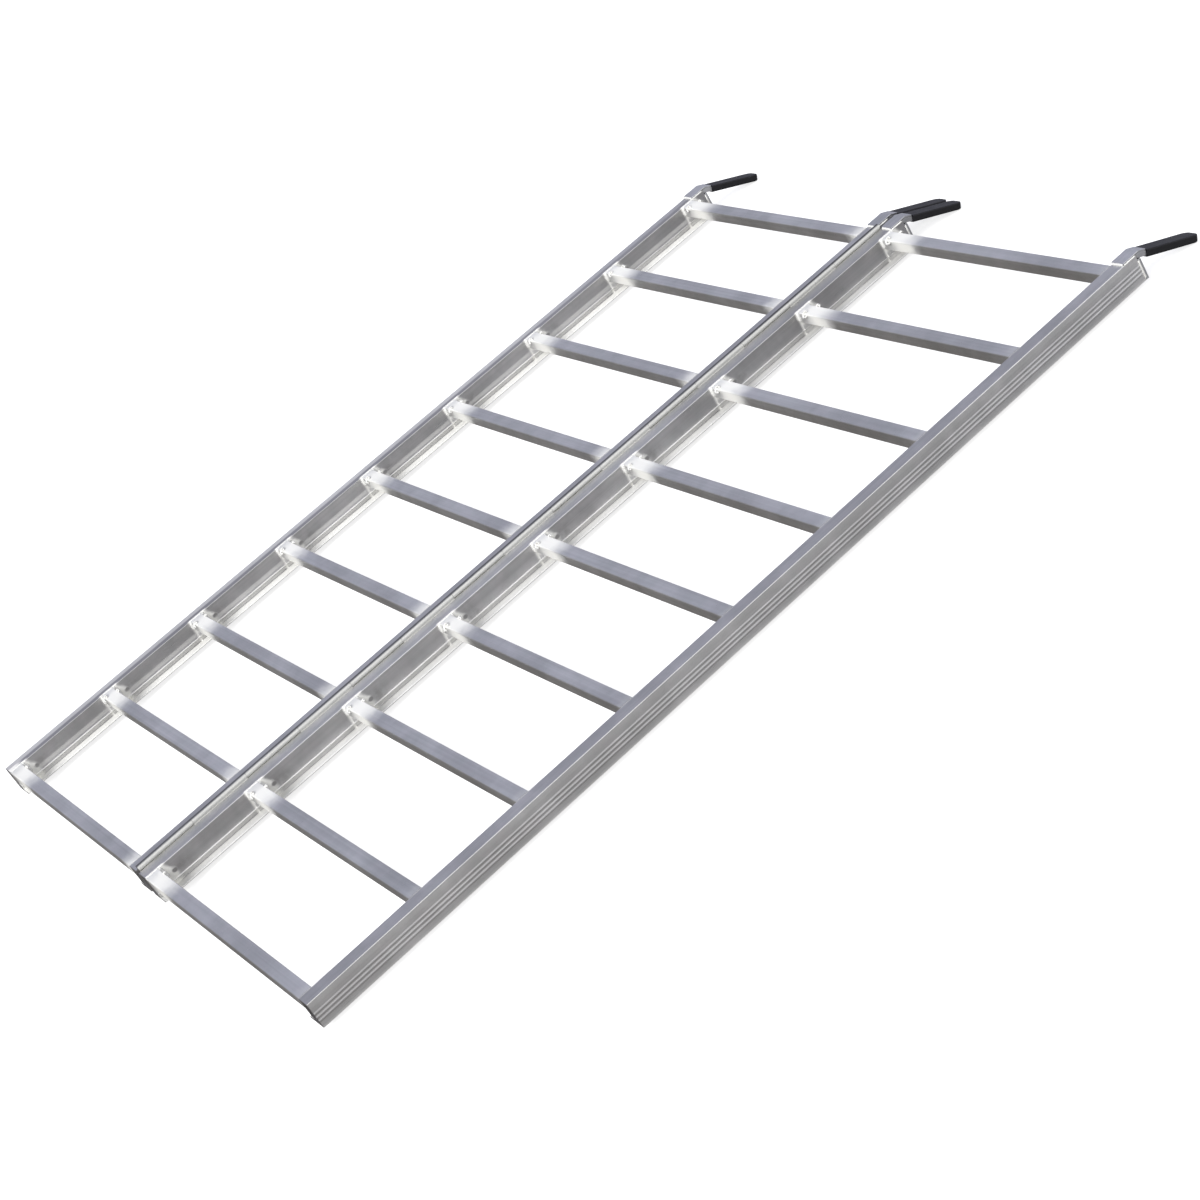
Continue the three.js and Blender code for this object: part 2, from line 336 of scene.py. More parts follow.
def rung_cleaning_and_painted_light(g, place):
    """Brushed white for a hand's width from a rung's bright end, made stronger there as a painted
    highlight, with grey sides and painted shade right at the weld.
    """
    bright_end, other_end = joint_distances(g, place)
    z = g.parts(place)[2]
    ragged = g.times(g.add(g.noise(place, 60.0, 4.0), -0.5), 30 * MM)
    inward = g.add(bright_end, ragged)
    # Partly painted highlight: the white is strongest from the end on the web that faces +X, towards the
    # lamp, and slight at the other end.
    top = g.times(g.step(inward, 4 * MM, 32 * MM, 0.56, 0.82), g.step(inward, 48 * MM, 118 * MM, 1.0, 0.0))
    flank = g.times(g.step(inward, 2 * MM, 54 * MM, 0.2, 0.97), g.step(inward, 68 * MM, 112 * MM, 1.0, 0.0))
    low = g.step(z, RAIL_TOP - 4 * MM, RAIL_TOP - 1 * MM, 1.0, 0.0)
    white = g.add(g.times(flank, low), g.times(top, g.less(low)))
    slight = g.step(g.add(other_end, ragged), 2 * MM, 20 * MM, 0.1, 0.0)
    # Painted shade: the rung's sides are darkened from the bright-end weld, fading out by 30 mm.
    darkening = g.times(low, g.step(inward, 10 * MM, 30 * MM, 0.3, 0.0))
    return g.most(white, slight), darkening


# A painted shadow spot on each bright web, beyond a rung's far side and below the rail's top
SPOT_BEYOND = 20 * MM
SPOT_DEPTH = 23.5 * MM


def rail_cleaning_and_painted_light(g, place):
    """White beyond each rung, brushed weld zones made full-strength on the webs that face +X as a painted
    highlight; white at the left outer rail's near end; sooty smudges outside the white; painted highlights
    on the bead and the flange; painted shade in the recess, on the inner band of the left outer rail's top
    and as a shadow spot beyond each rung; webs darker towards the far end; and worn feet and sides.
    """
    bright_end, other_end = joint_distances(g, place)
    x, y, z = g.parts(place)[:3]
    across = g.math("ABSOLUTE", x)
    depth = g.less(z, RAIL_TOP)

    def within(value, low, high, soft=1 * MM):
        return g.times(g.step(value, low - soft, low), g.step(value, high, high + soft, 1.0, 0.0))

    far, near = along_pitch(g, place)
    far_half = g.step(y, 250 * MM, 650 * MM)
    ragged = g.times(g.add(g.noise(place, 150.0, 4.0), -0.5), 8 * MM)
    below = g.math("MAXIMUM", g.add(depth, -RUNG_HEIGHT), 0.0)
    spread = g.step(depth, 3 * MM, 22 * MM, 11 * MM, 22 * MM)
    beyond = g.math("SUBTRACT", g.add(far, ragged), spread)
    white = g.step(beyond, -5 * MM, 5 * MM, 0.85, 0.0)
    white = g.times(white, g.step(near, 0.0, 7 * MM, 1.0, 0.0))
    under = g.math("COMPARE", g.add(far, near), 0.0, 0.01 * MM)
    white = g.times(white, g.less(g.times(under, g.step(below, 2 * MM, 10 * MM, 0.0, 0.7))))
    # Partly painted highlight: the weld white is full on the webs that face +X, towards the lamp, and 0.3
    # on the others.
    bright_web = g.step(bright_end, 1.5 * MM, 4 * MM, 1.0, 0.0)
    on_web = g.most(bright_web, g.step(other_end, 1.5 * MM, 4 * MM, 0.3, 0.0))
    white = g.times(on_web, white)
    darkening = g.times(g.step(beyond, -2 * MM, 6 * MM), g.step(beyond, 12 * MM, 45 * MM, 1.0, 0.0))
    darkening = g.times(darkening, g.step(depth, 8 * MM, 22 * MM, 0.2, 0.8))
    darkening = g.times(g.times(on_web, darkening), g.step(g.noise(place, 60.0, 3.0), 0.35, 0.6, 0.2, 0.9))
    rail_edge = RAIL_WIDTH / 2 + 2 * MM
    from_right_inner = g.distance(x, (GAP_FACE + INNER_WEB) / 2)
    right_inner = g.step(from_right_inner, rail_edge, RAIL_WIDTH / 2 + 3 * MM, 1.0, 0.0)
    # Darker towards the far end on the webs that face +X and over the right inner rail.
    darkening = g.most(darkening, g.times(g.most(bright_web, g.times(right_inner, 0.7)), g.times(far_half, 0.6)))

    near_end = g.step(g.add(y, ragged), RAIL_START + 12 * MM, RAIL_START + 36 * MM, 1.0, 0.0)
    left_rail = g.step(x, -OUTER_WEB + 1 * MM, -OUTER_WEB + 2 * MM, 1.0, 0.0)
    left_strip = g.step(x, -OUTER_WEB - 14 * MM, -OUTER_WEB - 9 * MM, 1.0, 0.0)
    near_white = g.times(g.times(near_end, left_rail), g.less(g.times(left_strip, 0.7), 0.85))
    cut_end = g.step(y, RAIL_START + 0.3 * MM, RAIL_START + 0.9 * MM, 1.0, 0.0)
    left_top = g.times(g.times(left_strip, g.step(depth, 1 * MM, 3 * MM, 1.0, 0.0)),
                       g.step(y, 250 * MM, 650 * MM, 0.32, 0.08))
    # Painted shade: the inner band of the left outer rail's top is darkened to a shaded web's tone, except
    # at the near end.
    left_top_shade = g.times(g.times(left_rail, g.less(left_strip)),
                        g.step(depth, 1 * MM, 3 * MM, 0.75, 0.0))
    darkening = g.most(darkening, g.times(left_top_shade, g.less(near_end)))
    # Painted highlight: a faint bright band across the left outer rail's bright web, 27 to 31 mm down.
    left_web_highlight = g.times(g.times(left_rail, bright_web), within(depth, 27 * MM, 31 * MM, 3 * MM))

    # Painted highlight: the flange's top is whitened as if blown out by the lamp; 0.85 on the left panel,
    # 0.66 falling to 0.5 towards the far end on the right.
    flange = g.most(within(across, INNER_WEB + 0.5 * MM, INNER_WEB + 20 * MM),
                    within(across, OUTER_WEB - 20 * MM, OUTER_WEB - 0.5 * MM))
    flange = g.times(flange, g.step(depth, 40 * MM, 45 * MM, 0.0, 1.0))
    left_side = g.step(x, 0.0, 1 * MM, 0.85, 0.0)
    flange = g.times(flange, g.most(left_side, g.times(g.less(far_half), 0.66), 0.5))
    # Painted highlight: a bright line along the bead on webs that face +X, weaker in the far half.
    bead = g.times(within(depth, BEAD_DEPTH - BEAD_HALF, BEAD_DEPTH + BEAD_HALF, 0.4 * MM),
                   g.step(bright_end, 0.2 * MM, 1.0 * MM, 0.0, 0.55))
    bead = g.times(bead, g.step(bright_end, 3 * MM, 4 * MM, 1.0, 0.0))
    bead = g.times(bead, g.less(g.times(far_half, 0.6)))
    outer_side = g.times(g.step(across, OUTER_FACE - 1.6 * MM, OUTER_FACE - 0.8 * MM),
                         g.step(depth, 8 * MM, 12 * MM, 0.2, 0.12))
    foot = g.times(g.step(depth, 42 * MM, 47 * MM, 0.0, 0.35),
                   g.step(across, OUTER_FACE - 4 * MM, OUTER_FACE))
    # Painted shade: the recess below the bead on webs that face +X is darkened.
    recess_top = BEAD_DEPTH + BEAD_HALF + 1 * MM
    recess = g.times(within(depth, recess_top, RAIL_HEIGHT - FLANGE_THICKNESS, 0.5 * MM),
                     g.step(bright_end, 0.5 * MM, 1.5 * MM))
    recess = g.times(recess, g.step(bright_end, 3 * MM, 4 * MM, 1.0, 0.0))
    # Painted shadow: a round dark spot on each bright web, beyond the rung's far side.
    spot_y = g.times(g.add(g.add(far, g.times(ragged, 0.5)), -SPOT_BEYOND), 0.8)
    spot_z = g.add(depth, -SPOT_DEPTH)
    spot = g.math("SQRT", g.add(g.times(spot_y, spot_y), g.times(spot_z, spot_z)))
    spot = g.times(bright_web, g.step(spot, 2.5 * MM, 5.5 * MM, 1.0, 0.0))
    darkening = g.most(darkening, g.times(recess, 0.9), spot)
    white = g.times(white, g.less(spot))
    found = g.most(white, near_white, left_top, g.times(left_web_highlight, 0.3), flange, bead, outer_side, foot)
    return g.times(found, g.less(cut_end)), g.most(darkening, cut_end)


def hinge_painted_highlight(g, place):
    """Painted highlight: brighter on the flank that faces +X, towards the lamp."""
    x = g.parts(place)[0]
    return g.step(x, 2 * MM, 4.5 * MM, 0.0, 0.6), 0.0


def make_aluminium(name, dull, grain, seed, cleaning_and_painted_light=None, base_roughness=0.4, far_tone=1.0):
    """Mill-finish aluminium with grain along one axis, blotchy oxide, scratches, and weld zones that are
    partly brushed and partly painted highlight and painted shade.
    """
    material = bpy.data.materials.new(name)
    material.use_nodes = True
    g = Graph(material.node_tree)
    place = g.node("ShaderNodeVectorMath", {0: g.place(), 1: (seed, seed * 0.7, seed * 0.3)},
                   operation="ADD").outputs[0]
    fine = g.noise(g.stretch(place, grain), 900.0, 4.0, 0.7)
    coarse = g.noise(g.stretch(place, grain), 160.0, 3.0)
    cloud = g.noise(place, 7.0, 4.0, 0.6)
    mottle = g.noise(place, 38.0, 4.0, 0.6)
    speck = g.noise(place, 420.0, 2.0, 0.6)

    darker = tuple(v * 0.88 for v in dull)
    lighter = tuple(min(v * 1.08, 1) for v in dull)
    tone = g.mix(g.step(cloud, 0.35, 0.65), darker, lighter)
    tone = g.mix(g.step(mottle, 0.3, 0.7), tone, g.mix(1.0, tone, (0.93, 0.95, 0.94), "MULTIPLY"))
    streak = g.step(coarse, 0.25, 0.75, 0.93, 1.05)
    tone = g.tint(tone, streak)

    def scratches(turn, scale, cut):
        stretched = g.stretch(place, (1.0, 0.012, 1.0), turn)
        return g.step(g.noise(stretched, scale, 2.0, 0.4), cut, cut + 0.03)

    marks = g.most(scratches((0, 0, 24), 520.0, 0.70), scratches((18, 0, -37), 430.0, 0.71),
                   scratches((0, 12, 78), 480.0, 0.71))
    tone = g.mix(g.times(marks, 0.35), tone, (0.93, 0.93, 0.94))
    rough = g.add(base_roughness, g.times(g.add(cloud, -0.5), 0.25))
    rough = g.add(rough, g.times(g.add(fine, -0.5), 0.22))
    rough = g.math("ADD", rough, g.times(marks, -0.1), clamp=True)
    metallic = 1.0
    y = g.parts(g.place())[1]
    tone = g.tint(tone, g.step(y, 100 * MM, 700 * MM, 1.0, far_tone))
    # The masks hold brushed white and sooty marks, and painted highlight, painted shade and painted shadow.
    if cleaning_and_painted_light:
        white, darkening = cleaning_and_painted_light(g, g.place())
        tone = g.mix(g.times(darkening, 0.6), tone, (0.40, 0.39, 0.38))
        tone = g.mix(white, tone, (0.98, 0.975, 0.925))
        metallic = g.less(g.times(white, 0.8))
        rough = g.add(rough, g.times(white, 0.12))
    height = g.add(g.times(fine, 0.6), g.add(g.times(speck, 0.25), g.times(marks, -0.5)))
    finish_material(g, tone, metallic, rough, height, 0.06 * MM)
    return material


def make_weld_metal(name, dark, light, metallic):
    """Welded aluminium with rippled tone and a few brown, sooty spots, darker low on the rail."""
    material = bpy.data.materials.new(name)
    material.use_nodes = True
    g = Graph(material.node_tree)
    place = g.place()
    darkening = g.step(g.noise(place, 85.0, 3.0), 0.60, 0.72)
    tone = g.mix(g.noise(place, 260.0, 3.0), dark, light)
    tone = g.mix(g.times(darkening, 0.6), tone, (0.45, 0.42, 0.38))
    z = g.parts(place)[2]
    low = g.step(z, RAIL_TOP - 27 * MM, RAIL_TOP - 18 * MM, 0.35, 0.0)
    tone = g.mix(low, tone, (0.5, 0.48, 0.46))
    rough = g.step(g.noise(place, 300.0), 0.3, 0.7, 0.34, 0.55)
    finish_material(g, tone, metallic, rough, g.noise(place, 900.0, 4.0), 0.12 * MM)
    return material


def make_rubber():
    """Moulded black rubber: fine grain, dusty top and scuffed edges."""
    material = bpy.data.materials.new("moulded_rubber")
    material.use_nodes = True
    g = Graph(material.node_tree)
    place = g.place()
    grain = g.noise(place, 1400.0, 3.0, 0.6)
    cloud = g.noise(place, 45.0, 4.0, 0.6)
    up = g.parts(g.node("ShaderNodeNewGeometry").outputs["Normal"])[2]
    dust = g.times(g.step(up, 0.5, 1.0), g.step(cloud, 0.3, 0.75, 0.4, 1.0))
    rub = g.step(g.noise(g.stretch(place, (1.0, 0.05, 1.0), (0, 0, 14)), 380.0, 2.0), 0.66, 0.72)
    tone = g.mix(cloud, (0.004, 0.004, 0.005), (0.009, 0.009, 0.011))
    tone = g.mix(g.times(dust, 0.3), tone, (0.05, 0.05, 0.065))
    tone = g.mix(g.times(rub, 0.25), tone, (0.10, 0.10, 0.11))
    rough = g.step(cloud, 0.2, 0.8, 0.42, 0.62)
    finish_material(g, tone, 0.0, rough, grain, 0.1 * MM)
    return material


def make_steel():
    """Drawn steel rod with turned ends."""
    material = bpy.data.materials.new("drawn_steel")
    material.use_nodes = True
    g = Graph(material.node_tree)
    place = g.place()
    draw = g.noise(g.stretch(place, (1.0, 0.01, 1.0)), 1500.0, 3.0)
    tone = g.mix(draw, (0.42, 0.42, 0.43), (0.58, 0.58, 0.59))
    tone = g.mix(g.step(g.noise(place, 60.0), 0.58, 0.7, 0.0, 0.5), tone, (0.28, 0.24, 0.2))
    rough = g.step(draw, 0.2, 0.8, 0.28, 0.42)
    finish_material(g, tone, 1.0, rough, draw, 0.03 * MM)
    return material


ALONG_RAIL = (1.0, 0.008, 1.0)
ALONG_RUNG = (0.008, 1.0, 1.0)
MATERIALS = {
    "rail": make_aluminium("mill_aluminium_rail", (0.80, 0.79, 0.80), ALONG_RAIL, 0.0, rail_cleaning_and_painted_light),
    "rung": make_aluminium("mill_aluminium_rung", (0.86, 0.86, 0.875), ALONG_RUNG, 3.1, rung_cleaning_and_painted_light),
    "bracket": make_aluminium("flat_bar_aluminium", (0.86, 0.86, 0.88), ALONG_RAIL, 5.7,
                              base_roughness=0.36),
    "hinge": make_aluminium("hinge_aluminium", (0.30, 0.30, 0.30), ALONG_RAIL, 8.3, hinge_painted_highlight,
                            base_roughness=0.5, far_tone=0.72),
    # Painted light: lit and shaded copies of one weld material; the lit copy also serves the strap and
    # plate welds.
    "weld": make_weld_metal("weld_bead_painted_lit", (0.72, 0.72, 0.70), (0.90, 0.895, 0.86), 0.2),
    "shaded_weld": make_weld_metal("weld_bead_painted_shade", (0.62, 0.62, 0.64), (0.74, 0.74, 0.76), 0.9),
    "rubber": make_rubber(),
    "steel": make_steel(),
}

# ---------------------------------------------------------------- mesh tools


def arc(centre, radii, start, end, steps):
    """Points of an ellipse's arc, with angles in degrees."""
    points = []
    for i in range(steps + 1):
        angle = math.radians(start + (end - start) * i / steps)
        points.append((centre[0] + radii[0] * math.cos(angle), centre[1] + radii[1] * math.sin(angle)))
    return points


def rounded_box(half_width, half_height, radius, steps=5):
    """A rectangle centred on zero, with round corners."""
    a, b = half_width - radius, half_height - radius
    points = []
    for centre, start in (((a, b), 0), ((-a, b), 90), ((-a, -b), 180), ((a, -b), 270)):
        points += arc(centre, (radius, radius), start, start + 90, steps)
    return points


def finish_piece(name, bm, material, body, nodes, sharp=40, flat_faces=True):
    """Turns a bmesh into a piece that rides on a body."""
    bmesh.ops.recalc_face_normals(bm, faces=bm.faces)
    mesh = bpy.data.meshes.new(name)
    bm.to_mesh(mesh)
    bm.free()
    mesh.polygons.foreach_set("use_smooth", [True] * len(mesh.polygons))
    mesh.set_sharp_from_angle(angle=math.radians(sharp))
    mesh.materials.append(MATERIALS[material])
    piece = bpy.data.objects.new(name, mesh)
    bpy.context.scene.collection.objects.link(piece)
    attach(piece, body)
    if nodes:
        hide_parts(*nodes)
    if flat_faces:
        keep_faces_flat(piece)
    return piece


def finish_weld(name, bm, material, body):
    finish_piece(name, bm, material, body, [], sharp=60, flat_faces=False)


def keep_faces_flat(piece):
    """Shades the large faces flat, so that only the rounded corners turn the light."""
    even = piece.modifiers.new("even_normals", "WEIGHTED_NORMAL")
    even.mode = "FACE_AREA"
    even.weight = 80
    even.keep_sharp = True


def soften(piece, width, segments, angle):
    """Rounds a piece's cut edges."""
    evens = [modifier for modifier in piece.modifiers if modifier.type == "WEIGHTED_NORMAL"]
    for modifier in evens:
        piece.modifiers.remove(modifier)
    bevel = piece.modifiers.new("soft_edges", "BEVEL")
    bevel.width = width
    bevel.segments = segments
    bevel.limit_method = "ANGLE"
    bevel.angle_limit = math.radians(angle)
    keep_faces_flat(piece)


def sweep(bm, loops, axis, start, end):
    """Adds a closed solid: flat outlines, the outer one and then its holes, swept straight along an axis.

    Along X an outline's points are (y, z), and along Y they are (x, z).
    """
    def put(point, distance):
        return Vector((distance, *point)) if axis == "X" else Vector((point[0], distance, point[1]))

    edges = []
    for loop in loops:
        verts = [bm.verts.new(put(point, start)) for point in loop]
        edges += [bm.edges.new((verts[i - 1], verts[i])) for i in range(len(verts))]
    filled = bmesh.ops.triangle_fill(bm, use_beauty=True, edges=edges)
    faces = [part for part in filled["geom"] if isinstance(part, bmesh.types.BMFace)]
    grown = bmesh.ops.extrude_face_region(bm, geom=faces)
    moved = [part for part in grown["geom"] if isinstance(part, bmesh.types.BMVert)]
    bmesh.ops.translate(bm, vec=put((0, 0), end - start), verts=moved)


def loft(bm, rings):
    """Adds a surface through rings of the same number of points, with its ends filled."""
    made = [[bm.verts.new(point) for point in ring] for ring in rings]
    count = len(made[0])
    for one, two in zip(made, made[1:]):
        for i in range(count):
            bm.faces.new((one[i - 1], one[i], two[i], two[i - 1]))
    for ring in (made[0], made[-1]):
        middle = bm.verts.new(sum((v.co for v in ring), Vector()) / count)
        for i in range(count):
            bm.faces.new((ring[i - 1], ring[i], middle))


COIN = 3.1 * MM
BEAD_SIDES = 12


def bead_along(bm, path, radii, seed):
    """Adds a weld bead: a tube along a path whose overlapping ripples look like stacked coins."""
    chance = random.Random(seed)
    points = [Vector(point) for point in path]
    travelled = [0.0]
    for one, two in zip(points, points[1:]):
        travelled.append(travelled[-1] + (two - one).length)
    rings = []
    start_phase = chance.random()
    for i, point in enumerate(points):
        before, after = points[max(i - 1, 0)], points[min(i + 1, len(points) - 1)]
        forward = (after - before).normalized()
        side = forward.orthogonal().normalized() if abs(forward.x) > 0.9 else Vector((1, 0, 0))
        other = forward.cross(side).normalized()
        side = other.cross(forward).normalized()
        to_end = min(travelled[i], travelled[-1] - travelled[i])
        radius = radii[i]
        taper = math.sqrt(max(0.0, 1 - (1 - min(to_end / radius, 1)) ** 2)) if radius else 0
        ring = []
        for k in range(BEAD_SIDES):
            angle = 2 * math.pi * k / BEAD_SIDES
            phase = travelled[i] / COIN + start_phase + 0.35 * math.cos(angle)
            coin = 1 - 0.16 * (phase - math.floor(phase)) ** 1.5
            reach = max(radius * taper * coin, 0.02 * MM)
            ring.append(point + side * (reach * math.cos(angle)) + other * (reach * math.sin(angle)))
        rings.append(ring)
    loft(bm, rings)


def run(start, end, spacing):
    """Evenly spaced points along a straight line."""
    start, end = Vector(start), Vector(end)
    steps = max(1, round((end - start).length / spacing))
    return [start.lerp(end, i / steps) for i in range(steps)] + [end]


# ---------------------------------------------------------------- rails


def rail_outline(corner):
    """The section of a rail as (inward from its outer face, height above its top)."""
    width, height = RAIL_WIDTH, RAIL_HEIGHT
    flange_top = height - FLANGE_THICKNESS
    tip = width + FLANGE_REACH
    points = arc((RIB_HEIGHT + corner, -corner), (corner, corner), 180, 90, 6)
    points += arc((width - CORNER, -CORNER), (CORNER, CORNER), 90, 0, 6)
    points += arc((width, -BEAD_DEPTH), (BEAD_REACH, BEAD_HALF), 90, -90, 10)
    points += arc((width - RECESS + 1 * MM, -BEAD_DEPTH - BEAD_HALF - 2 * MM), (1 * MM, 1 * MM), 90, 180, 4)
    points += arc((width - RECESS + 1.2 * MM, -flange_top + 1.2 * MM), (1.2 * MM, 1.2 * MM), 180, 270, 5)
    points += arc((tip - 1.4 * MM, -height + 1.5 * MM), (1.4 * MM, 1.5 * MM), 90, -90, 8)
    points += arc((RIB_HEIGHT + 1.4 * MM, -height + 1.4 * MM), (1.4 * MM, 1.4 * MM), 270, 180, 4)
    for depth in RIB_DEPTHS:
        for i in range(11):
            t = -1 + i / 5
            crest = 0.5 + 0.5 * math.cos(math.pi * t)
            points.append((RIB_HEIGHT * (1 - crest), -depth + RIB_HALF * t))
    return points


def rail_cavity():
    left = RIB_HEIGHT + WALL
    right = RAIL_WIDTH - RECESS - WALL
    foot = RAIL_HEIGHT - FLANGE_THICKNESS - 2 * MM
    centre = ((left + right) / 2, -(WALL + foot) / 2)
    shape = rounded_box((right - left) / 2, (foot - WALL) / 2, 1.2 * MM, 3)
    return [(centre[0] + a, centre[1] + b) for a, b in shape]


def make_rail(side_name, place_name):
    side = SIDES[side_name]
    face = side * (OUTER_FACE if place_name == "outer" else GAP_FACE)
    inward = -side if place_name == "outer" else side
    corner = CORNER if place_name == "outer" else HINGE_CORNER
    loops = []
    for outline in (rail_outline(corner), rail_cavity()):
        loops.append([(face + inward * a, RAIL_TOP + b) for a, b in outline])
    bm = bmesh.new()
    sweep(bm, loops, "Y", RAIL_START, RAIL_FINISH)
    node = f"{side_name}_{place_name}_rail"
    piece = finish_piece(f"{node}_extrusion", bm, "rail", f"{side_name}_panel", [node])
    soften(piece, 0.35 * MM, 2, 60)


# ---------------------------------------------------------------- rungs and their welds

RUNG_WALL = 2.8 * MM
RUNG_CORNER = 2.0 * MM
RUNG_BORE_CORNER = 0.8 * MM


def make_rung(side_name, index):
    side = SIDES[side_name]
    middle = (rung_y(index), RAIL_TOP - RUNG_HEIGHT / 2)
    loops = []
    for inset, radius in ((0.0, RUNG_CORNER), (RUNG_WALL, RUNG_BORE_CORNER)):
        shape = rounded_box(RUNG_WIDTH / 2 - inset, RUNG_HEIGHT / 2 - inset, radius)
        loops.append([(middle[0] + a, middle[1] + b) for a, b in shape])
    bm = bmesh.new()
    sweep(bm, loops, "X", side * (INNER_WEB + FIT_GAP), side * (OUTER_WEB - FIT_GAP))
    node = f"{side_name}_rung_{index + 1}"
    finish_piece(f"{node}_tube", bm, "rung", f"{side_name}_panel", [node])


CURL_STEPS = 32
CURL_SWEEP = 290
BEAD_SPACING = 0.7 * MM


def weld_curl(bm, centre, ring_radius, bead_radius, turned, seed):
    """A crater left at the end of a weld: an open ring of bead lying on a face that slopes 45 degrees."""
    path = []
    for i in range(CURL_STEPS + 1):
        angle = math.radians(turned + CURL_SWEEP * i / CURL_STEPS)
        up = ring_radius * math.sin(angle) * math.sqrt(0.5)
        path.append(Vector(centre) + Vector((ring_radius * math.cos(angle), up, up)))
    bead_along(bm, path, [bead_radius] * len(path), seed)


def make_rung_weld(side_name, index, place_name):
    """One bead up the near side of the rung's end, over its top and down the far side, where it spreads.

    The welds on webs that face +X, towards the lamp, are wide and bright, with a crater at each end. The
    others are small. The bright and the grey welds are a painted-lit and a painted-shade copy of one weld
    material.
    The first rung's weld starts on its top and has no near crater.
    """
    side = SIDES[side_name]
    web = OUTER_WEB if place_name == "outer" else INNER_WEB
    inward = -1 if place_name == "outer" else 1
    bright = side * inward > 0
    x_side = side * (web + inward * 1.2 * MM)
    half = RUNG_WIDTH / 2
    y = rung_y(index)
    if bright:
        crown = RAIL_TOP - 1.1 * MM
        near, over, far_top, far_middle, far_foot = 4.2 * MM, 2.1 * MM, 3.6 * MM, 5.2 * MM, 5.6 * MM
    else:
        crown = RAIL_TOP - 1.6 * MM
        near, over, far_top, far_middle, far_foot = 1.3 * MM, 1.3 * MM, 2.4 * MM, 3.0 * MM, 3.2 * MM
    stations = [
        (y - half, RAIL_TOP - RUNG_HEIGHT + 3 * MM, near * 0.8),
        (y - half, RAIL_TOP - 12 * MM, near),
        (y - half, crown - 4 * MM, near * 0.8),
        (y - half + 2 * MM, crown, over),
        (y + half - 2 * MM, crown, over),
        (y + half + 1 * MM, crown - 3 * MM, far_top),
        (y + half + 3 * MM, RAIL_TOP - 15 * MM, far_middle),
        (y + half + 5 * MM, RAIL_TOP - 27 * MM, far_foot),
    ]
    if index == 0:
        stations = stations[3:]
    path, radii = [], []
    for (y1, z1, r1), (y2, z2, r2) in zip(stations, stations[1:]):
        steps = max(2, round(math.hypot(y2 - y1, z2 - z1) / BEAD_SPACING))
        for i in range(steps):
            share = i / steps
            path.append((x_side, y1 + (y2 - y1) * share, z1 + (z2 - z1) * share))
            radii.append(r1 + (r2 - r1) * share)
    path.append((x_side, y2, z2))
    radii.append(r2)
    seed = f"{side_name}{index}{place_name}"
    bm = bmesh.new()
    bead_along(bm, path, radii, seed)
    if bright:
        chance = random.Random(seed)
        near_x = x_side + chance.uniform(17, 25) * MM
        far_x = x_side + chance.uniform(24, 34) * MM
        if index:
            near_centre = (near_x, y - half + 0.8 * MM, RAIL_TOP - 0.8 * MM)
            near_ring = chance.uniform(4.8, 6.2) * MM
            weld_curl(bm, near_centre, near_ring, 2.0 * MM, chance.uniform(0, 60), seed + "n")
        far_centre = (far_x, y + half - 1 * MM, RAIL_TOP - 1.4 * MM)
        far_ring = chance.uniform(3.4, 4.6) * MM
        weld_curl(bm, far_centre, far_ring, 1.9 * MM, chance.uniform(0, 60), seed + "f")
    name = f"{side_name}_rung_{index + 1}_{place_name}_weld"
    # Painted light: the lit copy of the weld material on webs that face +X, the shaded copy elsewhere.
    metal = "weld" if bright else "shaded_weld"
    finish_weld(name, bm, metal, f"{side_name}_panel")


# ---------------------------------------------------------------- fingers


def polish_cad_node(node, material, width):
    """Keeps a CAD node, with its cut edges rounded and a real material."""
    piece = frame["nodes"][node]
    piece.data.materials.clear()
    piece.data.materials.append(MATERIALS[material])
    merge = piece.modifiers.new("merge", "WELD")
    merge.merge_threshold = 0.01 * MM
    soften(piece, width, 3, 25)


SLEEVE_SLOPE = 24
SLEEVE_LENGTH = 114.5 * MM
SLEEVE_HALF_WIDTH = 16.5 * MM
SLEEVE_HALF_THICK = 6.5 * MM
SLEEVE_EDGE = 2.4 * MM
SLEEVE_START = (22.4 * MM, 4.45 * MM)
TIP_RADIUS = 14.5 * MM
TIP_STEPS = 15
POCKET_HALF_WIDTH = 14.3 * MM
POCKET_HALF_THICK = 4.3 * MM
POCKET_DEPTHS = (107 * MM, 60 * MM, 6 * MM, 1 * MM)
MOUTH = 1 * MM
MOUTH_STEPS = 4


